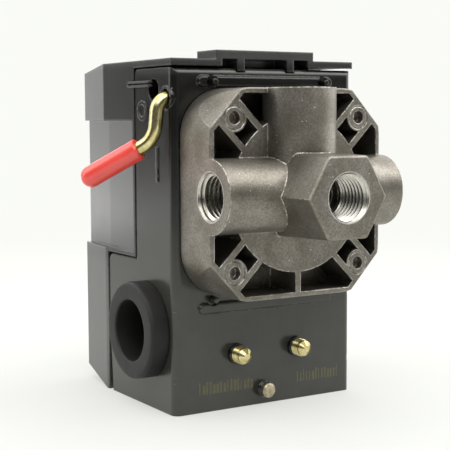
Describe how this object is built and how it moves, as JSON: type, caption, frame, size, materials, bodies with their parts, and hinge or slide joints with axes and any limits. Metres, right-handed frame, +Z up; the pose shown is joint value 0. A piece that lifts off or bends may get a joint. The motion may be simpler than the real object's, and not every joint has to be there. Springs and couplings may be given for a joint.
{
  "type": "pressure switch",
  "caption": "Diaphragm pressure switch with a cast multi-port block on a folded base plate, a lift-off cover and a side on-off lever.",
  "frame": {"origin": "middle of the base plate's front wall at its lower edge, on the face it stands on", "axes": "+Z up along the base plate's length, -Y out of the inlet port, +X along the base plate's width"},
  "size_m": [0.0834, 0.1028, 0.1047],
  "materials": {
    "black_paint": "semi-gloss black paint on folded steel",
    "cover_plastic": "satin black moulded plastic",
    "cast_aluminium": "as-cast, dull, warm grey",
    "black_rubber": "matte",
    "red_vinyl": "dipped soft vinyl",
    "yellow_zinc": "yellow passivated zinc plating",
    "white_zinc": "bright zinc plating",
    "tan_brass": "dull brass",
    "spring_steel": "oiled spring steel",
    "black_steel": "blackened wire",
    "moulding": "dark phenolic moulding",
    "contact_brass": "bright brass with silver faces",
    "plug_plastic": "matte black plastic"
  },
  "bodies": {
    "base": {"base_plate": "black_paint", "manifold": "cast_aluminium", "diaphragm": "black_rubber", "gasket_plate": "white_zinc", "manifold_screws": "white_zinc", "mechanism_frame": "white_zinc", "frame_rivets": "black_paint", "lever_pivot_pin": "spring_steel", "range_stud": "white_zinc", "range_spring": "spring_steel", "differential_stud": "white_zinc", "differential_spring": "spring_steel", "terminal_block": "moulding", "contact_strips": "contact_brass", "wire_clamps": "white_zinc", "terminal_screws": "white_zinc", "block_screws": "yellow_zinc", "ground_screw": "tan_brass", "link_guide": "white_zinc", "cable_grommet": "black_rubber", "hole_plug": "plug_plastic", "wire_clip": "black_steel"},
    "cover_shell": {"cover": "cover_plastic"},
    "cover_fastener": {"cover_screw": "white_zinc"},
    "selector": {"selector_rod": "yellow_zinc", "selector_sleeve": "red_vinyl", "selector_crank": "yellow_zinc"},
    "trip": {"trip_link": "spring_steel"},
    "lever": {"main_lever": "white_zinc", "lower_spring_seat": "white_zinc"},
    "plunger": {"piston": "white_zinc"},
    "carrier": {"contact_carrier": "moulding", "moving_contacts": "contact_brass", "contact_springs": "spring_steel"},
    "range_slider": {"range_seat": "white_zinc"},
    "range_adjuster": {"range_nut": "yellow_zinc"},
    "differential_slider": {"differential_seat": "white_zinc"},
    "differential_adjuster": {"differential_nut": "yellow_zinc"}
  },
  "joints": [
    {"name": "cover_lift", "type": "slide", "parent": "base", "child": "cover_shell", "axis": [0, 1, 0], "range_m": [0, 0.07]},
    {"name": "cover_screw_turn", "type": "hinge", "parent": "cover_shell", "child": "cover_fastener", "pos_m": [0, 0.061, 0.05105], "axis": [0, 1, 0], "continuous": true},
    {"name": "selector_turn", "type": "hinge", "parent": "base", "child": "selector", "pos_m": [-0.031, 0.0037, 0.091], "axis": [1, 0, 0], "range_deg": [0, 65]},
    {"name": "trip_link_slide", "type": "slide", "parent": "base", "child": "trip", "axis": [0, 0, 1], "range_m": [0, 0.00461]},
    {"name": "lever_swing", "type": "hinge", "parent": "base", "child": "lever", "pos_m": [0, 0.016, 0.088], "axis": [1, 0, 0], "range_deg": [0, 3], "stiffness_Nm_per_rad": 2, "springref_deg": -8.59, "deforming": ["range_spring", "differential_spring"]},
    {"name": "piston_slide", "type": "slide", "parent": "base", "child": "plunger", "axis": [0, 1, 0], "range_m": [0, 0.0013]},
    {"name": "carrier_swing", "type": "hinge", "parent": "base", "child": "carrier", "pos_m": [0, 0.02, 0.033], "axis": [1, 0, 0], "range_deg": [0, 19.2]},
    {"name": "range_nut_travel", "type": "slide", "parent": "base", "child": "range_slider", "axis": [0, -1, 0], "range_m": [0, 0.004], "deforming": ["range_spring"]},
    {"name": "range_nut_turn", "type": "hinge", "parent": "range_slider", "child": "range_adjuster", "pos_m": [0, 0.044, 0.05105], "axis": [0, -1, 0], "range_deg": [0, 1440]},
    {"name": "differential_nut_travel", "type": "slide", "parent": "base", "child": "differential_slider", "axis": [0, -1, 0], "range_m": [0, 0.0028], "deforming": ["differential_spring"]},
    {"name": "differential_nut_turn", "type": "hinge", "parent": "differential_slider", "child": "differential_adjuster", "pos_m": [0, 0.032, 0.0383], "axis": [0, -1, 0], "range_deg": [0, 1440]}
  ],
  "couplings": [
    {"joint": "trip_link_slide", "follows": "selector_turn", "m_per_rad": 0.0040653},
    {"joint": "piston_slide", "follows": "lever_swing", "m_per_rad": 0.02405},
    {"joint": "carrier_swing", "follows": "lever_swing", "ratio": 6.3333},
    {"joint": "range_nut_turn", "follows": "range_nut_travel", "rad_per_m": 6283.2},
    {"joint": "differential_nut_turn", "follows": "differential_nut_travel", "rad_per_m": 8976}
  ]
}
